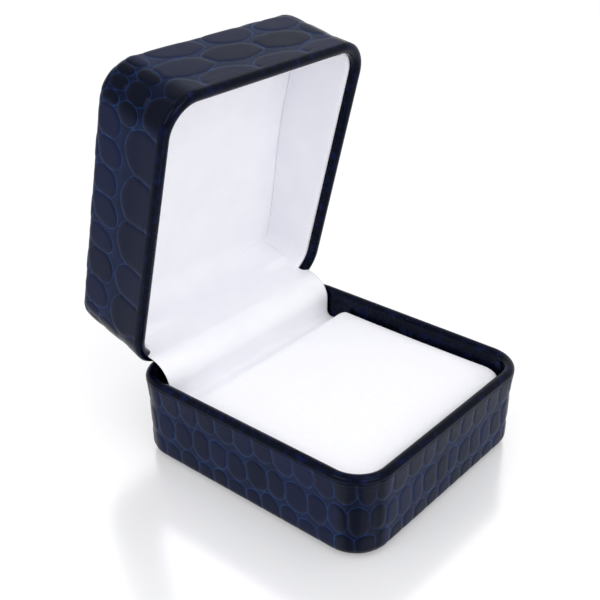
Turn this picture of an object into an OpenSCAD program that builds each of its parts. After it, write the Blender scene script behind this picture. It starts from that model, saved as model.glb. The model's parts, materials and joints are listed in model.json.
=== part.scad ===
// Small hinged display box: leatherette over a moulded core, satin lid
// lining, snap hinge behind a satin flap, and a lift-out flocked pad.
// Drawn open, as it stands on show. The origin is the centre of the
// underside of the base, with the hinge along X at the back.

/* [Base] */
// Width of the base, along the hinge
base_w = 70; // [64:0.5:80]
// Depth of the base, front to back
base_d = 74.8; // [66:0.2:84]
// Height of the base
base_h = 23.2; // [19.6:0.2:26]
// Corner radius seen from above
corner_r = 10; // [8:0.5:13]
// Radius of the rolled lower edge
foot_r = 2.4; // [1.8:0.1:3]

/* [Lid] */
// Height of the lid
lid_h = 22.8; // [19.4:0.2:27]
// How far the lid overhangs each side of the base
side_lip = 0.3; // [0.2:0.1:1.5]
// How far the lid overhangs the front, as a thumb lip
front_lip = 1.8; // [0.5:0.1:4]
// Angle from shut to the open stop
open_angle = 76; // [70:0.4:88]
// Gap between the two rims when shut
seam_gap = 0.1; // [0.06:0.02:0.3]

/* [Walls] */
// Thickness of the moulded core just under the rim
core_t = 1.5; // [1.4:0.1:1.9]
// Thickness of the moulded core in the floor and in the top
floor_t = 1.4; // [1.2:0.1:2]
// Thickness of the leatherette
wrap_t = 0.4; // [0.3:0.05:0.5]
// How far the rolled rim stands out past the wall under it
rim_proud = 0.7; // [0.6:0.05:0.9]
// How far the foot of the wall sits in from the rim
foot_in = 0.6; // [0.4:0.05:0.75]
// How far the waist of the wall sits in from the rim
waist_in = 0.95; // [0.8:0.05:1.05]
// Thickness of the sheet under the base
sole_t = 0.5; // [0.4:0.1:0.8]
// How far the leatherette turns down inside
turn_in = 11; // [10:0.5:12]
// How far the leatherette turns in under the base
turn_under = 6; // [5:0.5:7.5]

/* [Hinge] */
// Length of the row of knuckles
hinge_len = 40; // [36:0.5:46]
// Play between the pin and the knuckles
pin_play = 0.04; // [0.02:0.01:0.08]
// Thickness of the leaves, which roll round the pin
leaf_t = 0.5; // [0.4:0.05:0.6]
// How far the lid leaf reaches up from the pin
lid_leaf_rise = 9.3; // [8.5:0.1:10.5]
// Distance between the two rivets of a leaf
rivet_span = 30; // [24:0.5:31]
// Radius of the rivet shanks
rivet_r = 0.95; // [0.7:0.05:1.1]
// Width of the C-shaped spring
spring_w = 8; // [6:0.2:9]
// Thickness of the spring strip
spring_t = 0.3; // [0.2:0.05:0.35]
// Radius of the spring's bow, at the middle of the strip
spring_r = 5.9; // [5.8:0.05:6]

/* [Lining] */
// Thickness of the satin
satin_t = 0.3; // [0.2:0.05:0.35]
// Thickness of the boards
card_t = 0.5; // [0.4:0.05:0.6]
// Thickness of the wadding
wadding_t = 0.5; // [0.4:0.05:0.8]
// Gap between the rivet heads and the satin that hides them
lining_gap = 0.4; // [0.3:0.05:0.6]
// Distance from the front of the lid to the satin inside its front wall
lining_front = 4.3; // [4.2:0.1:5]
// Radius of the cove between the lid's ceiling and its back wall
back_cove_r = 7; // [5:0.5:9]
// Radius of the cove between the lid's ceiling and its front wall
front_cove_r = 5; // [3:0.5:8]
// Radius of the satin roll over the hinge
flap_roll_r = 7; // [6.9:0.05:7.2]

/* [Pad] */
// Distance from the rim of the base down to the top of the pad
pad_drop = 4; // [3.4:0.1:5]
// Overall thickness of the pad
pad_t = 4; // [3.4:0.1:5]
// Gap between the pad and the walls beside it
pad_gap = 0.6; // [0.5:0.1:1.2]
// Distance from the back of the box to the back edge of the pad
pad_back = 17; // [15:0.5:22]
// Radius of the pad's front corners
pad_corner_r = 6.4; // [4:0.2:8]
// Thickness of the pad's stiff board
pad_board_t = 1.2; // [0.8:0.1:1.4]
// Thickness of the flocked cover
cover_t = 0.5; // [0.3:0.1:0.7]
// Radius of the pad's soft upper edge
pad_edge_r = 1.1; // [0.9:0.1:1.3]
// How far the flap's tail reaches in under the pad
tail_reach = 5; // [3:0.5:8]

/* [Hidden] */
$fn = 64;
eps = 0.01;
cut_over = 1;
fit_gap = 0.05;
knuckle_count = 5;
knuckle_gap = 0.15;

// Leatherette, core and turned-in leatherette side by side, with the rim
// rolled round them, so the rim is as thick as the whole wall.
wall_t = rim_proud + core_t + 2 * wrap_t;
rim_r = wall_t / 2;
waist_core_t = wall_t - waist_in - 2 * wrap_t;
waist_level = 0.56;
inner_fillet_r = 0.6;
floor_in = foot_in + foot_r + 0.5;

// The hinge axis runs through the middle of the lid's rolled back rim.
axis_y = base_d / 2 - rim_r;
axis_z = base_h + seam_gap + rim_r;

lid_w = base_w + 2 * side_lip;
lid_d = base_d + front_lip;
lid_corner_r = corner_r + side_lip / 2;
lid_rim_z = base_h + seam_gap;
lid_top_z = lid_rim_z + lid_h;
lid_mid_y = -front_lip / 2;

// Inner faces of the walls
base_inner_w = base_w - 2 * wall_t;
base_inner_r = corner_r - wall_t;
base_front_y = -base_d / 2 + wall_t;
back_face_y = base_d / 2 - wall_t;
floor_z = sole_t + wrap_t + floor_t;
lid_inner_w = lid_w - 2 * wall_t;
lid_inner_r = lid_corner_r - wall_t;
lid_front_y = lid_mid_y - lid_d / 2 + wall_t;

// Hinge
knuckle_len = hinge_len / knuckle_count;
knuckle_bore = rim_r - leaf_t;
pin_r = knuckle_bore - pin_play;
root_h = 0.7;
root_in = 0.6;
slit_w = 0.3;
leaf_shoulder = rim_r + 0.3;
leaf_corner_r = 2;
notch_side = 0.2;
notch_h = 2 * rim_r + 0.4;
rivet_drop = 7;
rivet_head_r = 1.7;
rivet_head_t = 0.4;
rivet_len = leaf_t + wrap_t + waist_core_t - 0.1;
lug_w = 3;
lug_h = 0.6;
lug_proud = 0.6;
lug_play = 0.1;
lid_lug_rise = 3;

// Lid lining, in the shut position
leaf_y = back_face_y - leaf_t;
lining_y = leaf_y - rivet_head_t - lining_gap - satin_t;
lining_front_y = lid_mid_y - lid_d / 2 + lining_front;
ceiling_z = lid_top_z - wrap_t - floor_t;
card_z = ceiling_z - card_t;
wadding_z = card_z - wadding_t;
lining_z = wadding_z - satin_t;
lining_foot_z = lid_rim_z + 0.15;
board_in = 0.35;
cheek_card_in = fit_gap;
cheek_satin_in = card_t + 2 * fit_gap;

// Pad and what carries it
pad_z = base_h - pad_drop - pad_t;
pad_w = base_inner_w - 2 * pad_gap;
pad_front_y = base_front_y + pad_gap;
pad_back_y = base_d / 2 - pad_back;
pad_back_r = 1.6;
pad_edge_in = 1.4;
tail_z = pad_z - fit_gap - satin_t;
riser_z = tail_z - fit_gap;
riser_gap = 0.4;
riser_back_r = 1.5;

// The satin roll touches the line of the lid's lining at the open stop, and
// the upright part of the flap hangs from the front of the roll.
roll_y = axis_y - 1.1;
roll_level = axis_y - lining_y - flap_roll_r;
roll_z = axis_z + (roll_level + cos(open_angle) * (roll_y - axis_y)) / sin(open_angle);
flap_y = roll_y - flap_roll_r;
flap_w = pad_w;
flap_corner_r = 4.5;
riser_back_y = flap_y - 0.6;

// The spring lies just inside the satin roll, with one foot on each leaf.
spring_clear = 0.15;
foot_out = rim_r + leaf_t + fit_gap + spring_t / 2;
spring_y = roll_y;
spring_z = roll_z + flap_roll_r - satin_t - spring_clear - spring_r - spring_t / 2;
spring_level = sin(open_angle) * (spring_z - axis_z) - cos(open_angle) * (spring_y - axis_y);
lid_end_angle = 180 - open_angle - acos((foot_out - spring_level) / spring_r);
base_end_angle = 180 + acos((foot_out + spring_y - axis_y) / spring_r);
base_foot_z = spring_z + spring_r * sin(base_end_angle);
lid_foot_y = spring_y + spring_r * cos(lid_end_angle) - axis_y;
lid_foot_z = spring_z + spring_r * sin(lid_end_angle) - axis_z;
lid_foot_rise = sin(open_angle) * lid_foot_y + cos(open_angle) * lid_foot_z;
foot_h = 2.4;
base_lug_z = base_foot_z + foot_h / 2;
base_leaf_drop = axis_z - base_foot_z + 0.3;
reach = 20;

core_colour = "#33343c";
wrap_colour = "#1c2344";
sole_colour = "#23252e";
steel_colour = "#b9bdc6";
satin_colour = "#f0eff7";
flock_colour = "#fbfbfe";
card_colour = "#cfc8b8";
foam_colour = "#e6e3dc";

// What is left of a square corner when a quarter round takes its place
module corner_cut(r) {
    difference() {
        translate([-eps, -eps]) square(r + eps);
        translate([r, r]) circle(r = r);
    }
}

// Outline of a plate seen from above
module plan_outline(w, front_y, back_y, front_r, back_r) {
    difference() {
        translate([-w / 2, front_y]) square([w, back_y - front_y]);
        for (side = [0, 1]) mirror([side, 0]) {
            translate([-w / 2, front_y]) corner_cut(front_r);
            translate([-w / 2, back_y]) mirror([0, 1]) corner_cut(back_r);
        }
    }
}

module plate(w, front_y, back_y, front_r, back_r, t) {
    linear_extrude(height = t) plan_outline(w, front_y, back_y, front_r, back_r);
}

// Carries an outline round the edge of a plate. In the outline x is the
// distance in from the edge and y is the height.
module edge_run(w, front_y, back_y, front_r, back_r) {
    side_len = back_y - back_r - front_y - front_r;
    for (side = [0, 1]) mirror([side, 0, 0]) {
        translate([w / 2, front_y + front_r + side_len / 2, 0]) mirror([1, 0, 0])
            rotate([90, 0, 0]) linear_extrude(height = side_len, center = true) children();
        translate([w / 2 - back_r, back_y - back_r, 0])
            rotate_extrude(angle = 90) translate([back_r, 0]) mirror([1, 0]) children();
        translate([w / 2 - front_r, front_y + front_r, 0]) rotate([0, 0, -90])
            rotate_extrude(angle = 90) translate([front_r, 0]) mirror([1, 0]) children();
    }
    translate([0, back_y, 0]) rotate([0, 0, 90]) mirror([1, 0, 0])
        rotate([90, 0, 0]) linear_extrude(height = w - 2 * back_r, center = true) children();
    translate([0, front_y, 0]) rotate([0, 0, -90]) mirror([1, 0, 0])
        rotate([90, 0, 0]) linear_extrude(height = w - 2 * front_r, center = true) children();
}

module foot_cut(skin) {
    translate([foot_in + skin, skin]) corner_cut(foot_r - skin);
}

// Section of a wall with its floor at the bottom: waisted outer face, round
// foot and rolled rim, with a skin of the given thickness taken off.
module wall_section(h, skin) {
    bow_y = h * waist_level;
    bow_r = pow(bow_y - foot_r, 2) / (2 * (waist_in - foot_in));
    difference() {
        translate([foot_in + skin, skin])
            square([wall_t - foot_in - 2 * skin, h - rim_r - skin]);
        foot_cut(skin);
        translate([waist_in - bow_r, bow_y]) circle(r = bow_r + skin, $fn = 256);
    }
    translate([rim_r, h - rim_r]) circle(r = rim_r - skin);
}

module core_section(h) {
    wall_section(h, wrap_t);
    difference() {
        translate([rim_r, wrap_t]) square([floor_in + eps - rim_r, floor_t]);
        foot_cut(wrap_t);
    }
    translate([wall_t - wrap_t, wrap_t + floor_t]) difference() {
        translate([-eps, -eps]) square(inner_fillet_r + eps);
        translate([inner_fillet_r, inner_fillet_r]) circle(r = inner_fillet_r);
    }
}

// The leatherette runs up the outside, over the rim and down the inside, and
// turns in a given distance across the closed end.
module wrap_section(h, turn) {
    difference() {
        union() {
            wall_section(h, 0);
            translate([rim_r, 0]) square([turn - rim_r, wrap_t]);
        }
        foot_cut(0);
        wall_section(h, wrap_t);
        translate([wall_t - wrap_t - eps, wrap_t]) square([wrap_t + 2 * eps, h - turn_in - wrap_t]);
    }
}

module core_tub(w, d, r, h) {
    edge_run(w, -d / 2, d / 2, r, r) core_section(h);
    translate([0, 0, wrap_t])
        plate(w - 2 * floor_in, -d / 2 + floor_in, d / 2 - floor_in,
              r - floor_in, r - floor_in, floor_t);
}

// Row of knuckles and leaf for one half of the hinge, hanging down from the
// axis. The first knuckle is 0 for the base and 1 for the lid.
module knuckle_section() {
    difference() {
        union() {
            circle(r = rim_r);
            translate([-rim_r - leaf_t, -root_h]) square([leaf_t + root_in, 2 * root_h]);
        }
        circle(r = knuckle_bore);
        rotate(225) translate([knuckle_bore / 2, -slit_w / 2]) square([rim_r, slit_w]);
    }
}

module leaf_outline(first, drop) {
    difference() {
        translate([-hinge_len / 2, -drop]) square([hinge_len, drop - leaf_shoulder]);
        for (side = [0, 1]) mirror([side, 0])
            translate([-hinge_len / 2, -drop]) corner_cut(leaf_corner_r);
        for (side = [-1, 1]) translate([side * rivet_span / 2, -rivet_drop])
            circle(r = rivet_r + fit_gap);
    }
    for (k = [first : 2 : knuckle_count - 1])
        translate([k * knuckle_len - hinge_len / 2 + knuckle_gap / 2, -leaf_shoulder - eps])
            square([knuckle_len - knuckle_gap, leaf_shoulder - root_h + 2 * eps]);
}

module hinge_leaf(first, drop, lug_drop) {
    translate([0, -rim_r, 0]) rotate([90, 0, 0])
        linear_extrude(height = leaf_t) leaf_outline(first, drop);
    for (k = [first : 2 : knuckle_count - 1])
        translate([(k + 0.5) * knuckle_len - hinge_len / 2, 0, 0]) rotate([90, 0, 90])
            linear_extrude(height = knuckle_len - knuckle_gap, center = true) knuckle_section();
    translate([-lug_w / 2, -rim_r - leaf_t - lug_proud, -lug_drop - lug_h / 2])
        cube([lug_w, lug_proud + leaf_t / 2, lug_h]);
}

// Two rivets with their domed heads on the leaf, axis height at z = 0
module rivet_pair() {
    dome_r = (pow(rivet_head_r, 2) + pow(rivet_head_t, 2)) / (2 * rivet_head_t);
    for (side = [-1, 1]) translate([side * rivet_span / 2, 0, 0]) rotate([-90, 0, 0]) {
        translate([0, 0, -rivet_head_t / 2])
            cylinder(r = rivet_r, h = rivet_len + rivet_head_t / 2);
        rotate_extrude() intersection() {
            translate([0, -rivet_head_t]) square([rivet_head_r, rivet_head_t]);
            translate([0, dome_r - rivet_head_t]) circle(r = dome_r, $fn = 128);
        }
    }
}

module rivet_holes(from_y, to_y) {
    for (side = [-1, 1]) translate([side * rivet_span / 2, from_y, 0]) rotate([-90, 0, 0])
        cylinder(r = rivet_r + fit_gap, h = to_y - from_y);
}

// Moves a piece of the lid from the shut position to the open stop
module lid_pose() {
    translate([0, axis_y, axis_z]) rotate([-open_angle, 0, 0])
        translate([0, -axis_y, -axis_z]) children();
}

// Turns a tub over and sets it on top of the base
module lid_shut() {
    translate([0, lid_mid_y, lid_top_z]) rotate([180, 0, 0]) children();
}

module hinge_notch() {
    translate([-hinge_len / 2 - notch_side, back_face_y - leaf_t, lid_rim_z - leaf_t])
        cube([hinge_len + 2 * notch_side, wall_t + 2 * leaf_t, notch_h + leaf_t]);
}

module base_shell() {
    color(core_colour) difference() {
        translate([0, 0, sole_t]) core_tub(base_w, base_d, corner_r, base_h - sole_t);
        translate([0, 0, axis_z - rivet_drop])
            rivet_holes(back_face_y, back_face_y + wall_t);
    }
}

module base_wrap() {
    color(wrap_colour) difference() {
        translate([0, 0, sole_t]) edge_run(base_w, -base_d / 2, base_d / 2, corner_r, corner_r)
            wrap_section(base_h - sole_t, turn_under);
        translate([0, 0, axis_z - rivet_drop])
            rivet_holes(back_face_y - eps, back_face_y + wrap_t + eps);
    }
}

module base_sole() {
    color(sole_colour) plate(base_w - 2 * floor_in, -base_d / 2 + floor_in,
                             base_d / 2 - floor_in, corner_r - floor_in,
                             corner_r - floor_in, sole_t);
}

module base_leaf() {
    color(steel_colour) translate([0, axis_y, axis_z])
        hinge_leaf(0, base_leaf_drop, axis_z - base_lug_z);
}

module base_rivets() {
    color(steel_colour) translate([0, leaf_y, axis_z - rivet_drop]) rivet_pair();
}

module hinge_pin() {
    chamfer = pin_r / 4;
    color(steel_colour) translate([0, axis_y, axis_z]) rotate([0, 90, 0]) {
        cylinder(r = pin_r, h = hinge_len - 2 * chamfer, center = true);
        for (end = [0, 1]) mirror([0, 0, end])
            translate([0, 0, hinge_len / 2 - chamfer])
                cylinder(r1 = pin_r, r2 = pin_r - chamfer, h = chamfer);
    }
}

module spring_bow() {
    translate([spring_y, spring_z]) intersection() {
        difference() {
            circle(r = spring_r + spring_t / 2, $fn = 128);
            circle(r = spring_r - spring_t / 2, $fn = 128);
        }
        polygon([[0, 0],
                 [reach * cos(lid_end_angle), reach * sin(lid_end_angle)],
                 [-reach, reach],
                 [-reach, -reach],
                 [reach * cos(base_end_angle), reach * sin(base_end_angle)]]);
    }
}

module snap_spring() {
    color(steel_colour) difference() {
        rotate([90, 0, 90]) linear_extrude(height = spring_w, center = true) {
            spring_bow();
            translate([axis_y - foot_out - spring_t / 2, base_foot_z - spring_t / 2])
                square([spring_t, foot_h + spring_t / 2]);
            translate([axis_y, axis_z]) rotate(-open_angle)
                translate([-foot_out - spring_t / 2, lid_foot_rise - spring_t / 2])
                    square([spring_t, lid_lug_rise + foot_h / 2 - lid_foot_rise]);
        }
        translate([-lug_w / 2 - lug_play, axis_y - foot_out - spring_t, base_lug_z - lug_h / 2 - lug_play])
            cube([lug_w + 2 * lug_play, 2 * spring_t, lug_h + 2 * lug_play]);
        lid_pose() translate([-lug_w / 2 - lug_play, axis_y - foot_out - spring_t,
                              axis_z + lid_lug_rise - lug_h / 2 - lug_play])
            cube([lug_w + 2 * lug_play, 2 * spring_t, lug_h + 2 * lug_play]);
    }
}

module riser_block() {
    color(foam_colour) translate([0, 0, floor_z])
        plate(base_inner_w - 2 * riser_gap, base_front_y + riser_gap, riser_back_y,
              base_inner_r - riser_gap, riser_back_r, riser_z - floor_z);
}

// Satin from under the pad, up in front of the hinge and back over it
module flap_section() {
    translate([roll_y, roll_z]) intersection() {
        difference() {
            circle(r = flap_roll_r, $fn = 128);
            circle(r = flap_roll_r - satin_t, $fn = 128);
        }
        polygon([[0, 0],
                 [reach * cos(180 - open_angle), reach * sin(180 - open_angle)],
                 [-reach, reach],
                 [-reach, 0]]);
    }
    translate([flap_y, tail_z]) square([satin_t, roll_z - tail_z + eps]);
    translate([pad_back_y - tail_reach, tail_z])
        square([flap_y - pad_back_y + tail_reach + satin_t, satin_t]);
}

module hinge_flap() {
    color(satin_colour) intersection() {
        rotate([90, 0, 90]) linear_extrude(height = flap_w, center = true) flap_section();
        plate(flap_w, pad_back_y - tail_reach, back_face_y, riser_back_r, flap_corner_r,
              lid_top_z);
    }
}

// Pad, drawn from its own underside and set in place by pad_place()
module pad_place() {
    translate([0, 0, pad_z]) children();
}

module pad_plate(inset, t) {
    plate(pad_w - 2 * inset, pad_front_y + inset, pad_back_y - inset,
          pad_corner_r - inset, pad_back_r - inset, t);
}

module pad_section(inset, h) {
    difference() {
        translate([inset, 0]) square([pad_edge_in - inset, h]);
        translate([inset, h]) mirror([0, 1]) corner_cut(pad_edge_r - inset);
    }
}

module pad_card() {
    color(card_colour) pad_place() pad_plate(cover_t + fit_gap, pad_board_t);
}

module pad_foam() {
    inset = cover_t + fit_gap;
    color(foam_colour) pad_place() translate([0, 0, pad_board_t]) {
        edge_run(pad_w, pad_front_y, pad_back_y, pad_corner_r, pad_back_r)
            pad_section(inset, pad_t - pad_board_t - inset);
        pad_plate(pad_edge_r, pad_t - pad_board_t - inset);
    }
}

module pad_cover() {
    color(flock_colour) pad_place() {
        edge_run(pad_w, pad_front_y, pad_back_y, pad_corner_r, pad_back_r) difference() {
            pad_section(0, pad_t);
            translate([0, -eps]) pad_section(cover_t, pad_t - cover_t + eps);
            translate([pad_edge_in - eps, -cut_over]) square([cut_over, pad_t - cover_t + cut_over]);
        }
        translate([0, 0, pad_t - cover_t]) pad_plate(pad_edge_r + eps, cover_t);
    }
}

module lid_shell() {
    color(core_colour) lid_pose() difference() {
        lid_shut() core_tub(lid_w, lid_d, lid_corner_r, lid_h);
        hinge_notch();
        translate([0, 0, axis_z + rivet_drop])
            rivet_holes(back_face_y, back_face_y + wall_t);
    }
}

module lid_wrap() {
    color(wrap_colour) lid_pose() difference() {
        lid_shut() {
            edge_run(lid_w, -lid_d / 2, lid_d / 2, lid_corner_r, lid_corner_r)
                wrap_section(lid_h, floor_in + eps);
            plate(lid_w - 2 * floor_in, -lid_d / 2 + floor_in, lid_d / 2 - floor_in,
                  lid_corner_r - floor_in, lid_corner_r - floor_in, wrap_t);
        }
        hinge_notch();
        translate([0, 0, axis_z + rivet_drop])
            rivet_holes(back_face_y - eps, back_face_y + wrap_t + eps);
    }
}

module lid_leaf() {
    color(steel_colour) lid_pose() translate([0, axis_y, axis_z]) mirror([0, 0, 1])
        hinge_leaf(1, lid_leaf_rise, lid_lug_rise);
}

module lid_rivets() {
    color(steel_colour) lid_pose() translate([0, leaf_y, axis_z + rivet_drop]) rivet_pair();
}

// Plate across the inside of the lid, held in from the walls by a gap
module lid_plate(inset, z, t) {
    translate([0, 0, z])
        plate(lid_inner_w - 2 * inset, lid_front_y + inset, back_face_y - inset,
              lid_inner_r - inset, lid_inner_r - inset, t);
}

module lid_card() {
    color(card_colour) lid_pose() lid_plate(board_in, card_z, card_t);
}

module lid_wadding() {
    color(foam_colour) lid_pose() lid_plate(board_in, wadding_z, wadding_t);
}

// Space inside the lining seen from the side, grown by a given amount
module lining_space(grow) {
    difference() {
        translate([lining_front_y - grow, lining_foot_z])
            square([lining_y - lining_front_y + 2 * grow, lining_z - lining_foot_z + grow]);
        translate([lining_front_y - grow, lining_z + grow]) mirror([0, 1])
            corner_cut(front_cove_r + grow);
        translate([lining_y + grow, lining_z + grow]) mirror([0, 1]) mirror([1, 0])
            corner_cut(back_cove_r + grow);
    }
}

module lid_lining() {
    color(satin_colour) lid_pose() intersection() {
        rotate([90, 0, 90]) linear_extrude(height = lid_w, center = true) difference() {
            lining_space(satin_t);
            translate([0, -eps]) lining_space(0);
            translate([lining_front_y, lining_foot_z - cut_over])
                square([lining_y - lining_front_y, 2 * cut_over]);
        }
        lid_plate(fit_gap, lid_rim_z, lid_h);
    }
}

// Layer that follows the side wall and turns in round both corners
module cheek(inset, t) {
    lid_pose() intersection() {
        difference() {
            lid_plate(inset, lining_foot_z, lid_h);
            lid_plate(inset + t, lining_foot_z - cut_over, lid_h + 2 * cut_over);
        }
        rotate([90, 0, 90]) linear_extrude(height = lid_w) lining_space(-fit_gap);
    }
}

module left_cheek_card() {
    color(card_colour) mirror([1, 0, 0]) cheek(cheek_card_in, card_t);
}

module left_cheek_satin() {
    color(satin_colour) mirror([1, 0, 0]) cheek(cheek_satin_in, satin_t);
}

module right_cheek_card() {
    color(card_colour) cheek(cheek_card_in, card_t);
}

module right_cheek_satin() {
    color(satin_colour) cheek(cheek_satin_in, satin_t);
}

base_shell();
base_wrap();
base_sole();
base_leaf();
base_rivets();
hinge_pin();
snap_spring();
riser_block();
hinge_flap();
pad_card();
pad_foam();
pad_cover();
lid_shell();
lid_wrap();
lid_leaf();
lid_rivets();
lid_card();
lid_wadding();
lid_lining();
left_cheek_card();
left_cheek_satin();
right_cheek_card();
right_cheek_satin();
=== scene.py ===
import json
import math
import bpy
import numpy as np
from mathutils import Matrix, Vector, noise


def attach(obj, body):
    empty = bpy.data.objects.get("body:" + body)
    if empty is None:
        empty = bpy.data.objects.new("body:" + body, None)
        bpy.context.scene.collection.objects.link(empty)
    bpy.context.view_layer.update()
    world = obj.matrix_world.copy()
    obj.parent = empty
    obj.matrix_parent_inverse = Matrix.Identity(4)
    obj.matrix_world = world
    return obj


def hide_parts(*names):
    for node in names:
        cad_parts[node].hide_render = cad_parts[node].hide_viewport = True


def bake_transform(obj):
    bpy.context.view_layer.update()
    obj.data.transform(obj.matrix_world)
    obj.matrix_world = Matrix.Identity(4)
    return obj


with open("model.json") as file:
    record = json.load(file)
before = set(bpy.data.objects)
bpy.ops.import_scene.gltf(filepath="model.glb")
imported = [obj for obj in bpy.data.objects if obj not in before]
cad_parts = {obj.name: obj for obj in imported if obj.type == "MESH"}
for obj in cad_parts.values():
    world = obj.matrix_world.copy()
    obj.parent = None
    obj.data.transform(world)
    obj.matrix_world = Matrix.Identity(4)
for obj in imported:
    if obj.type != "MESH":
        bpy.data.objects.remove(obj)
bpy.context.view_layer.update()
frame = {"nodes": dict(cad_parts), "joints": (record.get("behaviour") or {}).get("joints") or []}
cadNodes = frame["nodes"]
mm = 0.001

# the lid stands open at rest: its pieces are drawn shut, then swung back about the hinge
hinge = next(joint for joint in frame["joints"] if joint["name"] == "lid_hinge")
hingeAt = Vector(hinge["pos_m"])
openBy = math.radians(hinge["range_deg"][1])
swingOpen = Matrix.Translation(hingeAt) @ Matrix.Rotation(-openBy, 4, "X") @ Matrix.Translation(-hingeAt)


# small helpers

def leaveEdit():
    bpy.ops.object.mode_set(mode="OBJECT")


def pickNothing():
    if bpy.context.object is not None and bpy.context.object.mode != "OBJECT":
        leaveEdit()
    bpy.ops.object.select_all(action="DESELECT")


def pickOnly(piece):
    pickNothing()
    piece.select_set(True)
    bpy.context.view_layer.objects.active = piece


def settle(piece):
    # puts the place, turn and size of a piece into its mesh
    pickOnly(piece)
    bpy.ops.object.transform_apply(location=True, rotation=True, scale=True)


def editAll(piece):
    pickOnly(piece)
    bpy.ops.object.mode_set(mode="EDIT")
    bpy.ops.mesh.select_all(action="SELECT")


def pointOut(piece):
    editAll(piece)
    bpy.ops.mesh.normals_make_consistent(inside=False)
    leaveEdit()


def turnOver(piece):
    editAll(piece)
    bpy.ops.mesh.flip_normals()
    leaveEdit()


def applyModifier(piece, modifier):
    pickOnly(piece)
    bpy.ops.object.modifier_apply(modifier=modifier.name)


def thicken(piece, thick):
    # a sheet gets its thickness behind its faces
    wall = piece.modifiers.new("wall", "SOLIDIFY")
    wall.thickness = thick * mm
    wall.offset = -1
    applyModifier(piece, wall)


def selectWhere(piece, kind, test):
    # test gets rows of x, y and z in mm: both ends of the edges, or the faces' middles, and their normals
    leaveEdit()
    mesh = piece.data
    points = readPoints(piece)
    for part in (mesh.vertices, mesh.edges, mesh.polygons):
        part.foreach_set("select", np.zeros(len(part), bool))
    if kind == "edges":
        ends = np.zeros(len(mesh.edges) * 2, int)
        mesh.edges.foreach_get("vertices", ends)
        chosen = test(points[ends[0::2]].T, points[ends[1::2]].T)
    else:
        middles, normals = np.zeros(len(mesh.polygons) * 3), np.zeros(len(mesh.polygons) * 3)
        mesh.polygons.foreach_get("center", middles)
        mesh.polygons.foreach_get("normal", normals)
        chosen = test(middles.reshape(-1, 3).T / mm, normals.reshape(-1, 3).T)
    getattr(mesh, kind).foreach_set("select", chosen)
    bpy.ops.object.mode_set(mode="EDIT")
    bpy.ops.mesh.select_mode(type={"edges": "EDGE", "polygons": "FACE"}[kind])


def readPoints(piece):
    points = np.zeros(len(piece.data.vertices) * 3)
    piece.data.vertices.foreach_get("co", points)
    return points.reshape(-1, 3) / mm


def writePoints(piece, points):
    piece.data.vertices.foreach_set("co", (points * mm).ravel())
    piece.data.update()


def makeGrid(name, columns, rows):
    # a flat grid, and the order of its points row by row from its lower left
    pickNothing()
    bpy.ops.mesh.primitive_grid_add(x_subdivisions=columns, y_subdivisions=rows, size=mm)
    grid = bpy.context.object
    grid.name = name
    points = np.round(readPoints(grid), 6)
    return grid, np.lexsort((points[:, 0], points[:, 1]))


def setAttribute(piece, name, values):
    layer = piece.data.attributes.get(name) or piece.data.attributes.new(name, "FLOAT", "POINT")
    layer.data.foreach_set("value", np.asarray(values, dtype=np.float32))


def smoothStep(low, high, value):
    share = np.clip((value - low) / (high - low), 0, 1)
    return share * share * (3 - 2 * share)


def hexColour(code):
    parts = [int(code[i:i + 2], 16) / 255 for i in (1, 3, 5)]
    return [p / 12.92 if p <= 0.04045 else ((p + 0.055) / 1.055) ** 2.4 for p in parts] + [1]


def setInputs(node, values):
    for name, value in values.items():
        node.inputs[name].default_value = hexColour(value) if isinstance(value, str) else value


def addNode(tree, kind, settings=None, values=None, links=None):
    node = tree.nodes.new("ShaderNode" + kind)
    for name, value in (settings or {}).items():
        setattr(node, name, value)
    setInputs(node, values or {})
    for name, socket in (links or {}).items():
        tree.links.new(socket, node.inputs[name])
    return node


def newMaterial(name, values):
    material = bpy.data.materials.new(name)
    material.use_nodes = True
    tree = material.node_tree
    shader = tree.nodes["Principled BSDF"]
    setInputs(shader, values)
    return material, tree, shader


colourMix = {"data_type": "RGBA"}


def finishMaterial(tree, shader, colour, height, strength, depthMm):
    # the colour goes to the shader, and the height through a bump
    bump = addNode(tree, "Bump", values={"Strength": strength, "Distance": depthMm * mm},
                   links={"Height": height})
    tree.links.new(colour, shader.inputs["Base Color"])
    tree.links.new(bump.outputs[0], shader.inputs["Normal"])


def putOn(piece, material):
    piece.data.materials.clear()
    piece.data.materials.append(material)


# materials

# PU leatherette, embossed with a crocodile grain and lacquered: dark navy tops with a faint grey sheen,
# thin brighter blue lines round each scale, painted in as a highlight of light caught on the scales' raised
# edges, tops and lines painted darker at the corners as shade, and glossier at the corners
leatherLook = {"top": "#030a1e", "topPale": "#0e1634", "topCornerShade": "#020614", "lineHighlight": "#1d3a66",
               "lineHighlightCornerShade": "#10244e", "gap": 0.16, "gapMm": 0.45, "lineMm": 0.1,
               "bead": "#02050f", "beadPale": "#0a1136", "roughness": 0.36, "cornerGloss": 0.2,
               "specular": 0.1, "sheen": "#92a6ee", "coat": 0.07, "coatRoughness": 0.12,
               "grainMm": 0.35, "grainDepth": 0.25, "cloudMm": 5, "streakMm": 2.2}


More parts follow.
